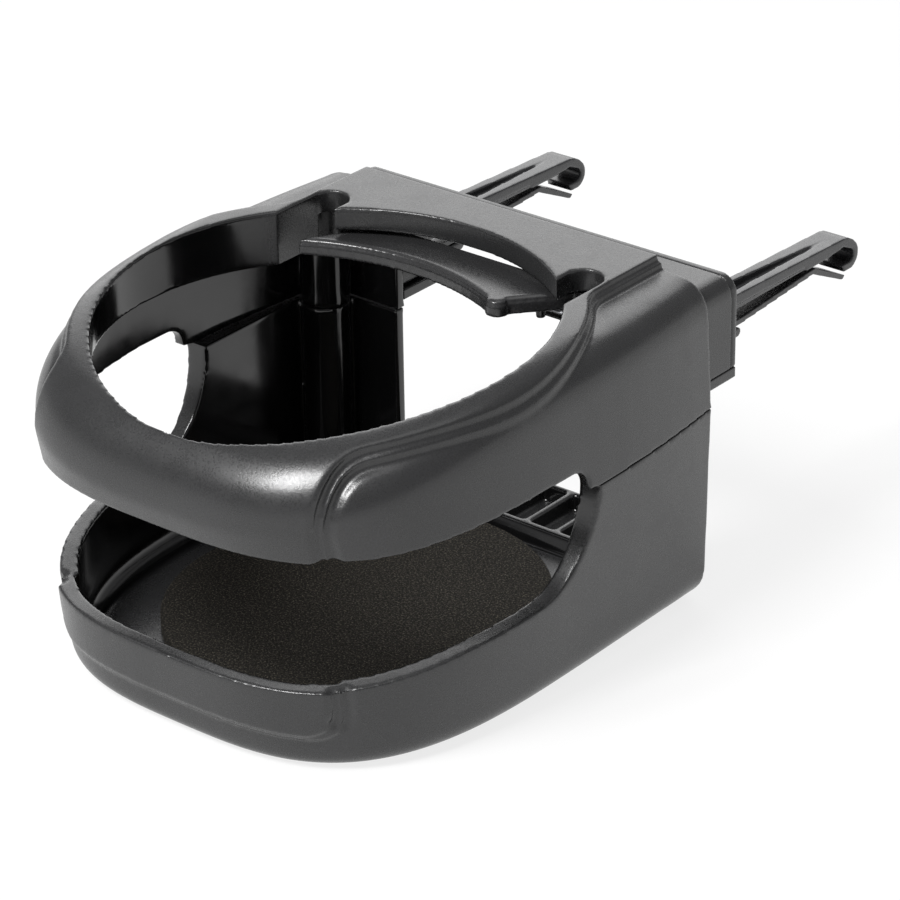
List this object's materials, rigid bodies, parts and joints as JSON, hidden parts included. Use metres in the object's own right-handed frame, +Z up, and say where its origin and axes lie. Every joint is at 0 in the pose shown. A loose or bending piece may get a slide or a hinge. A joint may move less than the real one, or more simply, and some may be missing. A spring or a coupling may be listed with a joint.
{
  "type": "car vent cup holder",
  "caption": "Black cup holder that hangs from an air vent's louvres by two sliding hooks, with a padded tray and a sprung arm that steadies the cup.",
  "frame": {"origin": "on the cup's axis, on the underside of the tray", "axes": "+Z up, -Y towards the rounded nose that faces the seats, +Y towards the hooks and the vent, +X to the right seen from the nose"},
  "size_m": [0.092, 0.1531, 0.0627],
  "materials": {
    "shell_plastic": "satin, fine grain",
    "arm_plastic": "semi-gloss",
    "hook_plastic": "satin",
    "pad_foam": "open-cell foam, speckled",
    "screw_steel": "zinc plated"
  },
  "bodies": {
    "body": {"upper_shell": "shell_plastic", "lower_tray": "shell_plastic", "foam_pad": "pad_foam", "presser_pivot": "screw_steel", "presser_washer": "screw_steel", "rail_housing": "shell_plastic", "rail_cover": "shell_plastic", "rail_base": "shell_plastic", "shell_screws": "screw_steel", "rail_screws": "screw_steel"},
    "arm": {"presser_arm": "arm_plastic", "presser_spring": "screw_steel"},
    "left_hook": {"hook_left": "hook_plastic", "leaf_left": "hook_plastic"},
    "right_hook": {"hook_right": "hook_plastic", "leaf_right": "hook_plastic"}
  },
  "joints": [
    {"name": "presser_swing", "type": "hinge", "parent": "body", "child": "arm", "pos_m": [0.0265, 0.0405, 0.0547], "axis": [0, 0, 1], "range_deg": [-8, 0], "stiffness_Nm_per_rad": 0.02, "springref_deg": 22.92},
    {"name": "hook_left_slide", "type": "slide", "parent": "body", "child": "left_hook", "axis": [1, 0, 0], "range_m": [0, 0.0242]},
    {"name": "hook_right_slide", "type": "slide", "parent": "body", "child": "right_hook", "axis": [-1, 0, 0], "range_m": [0, 0.0242]}
  ]
}
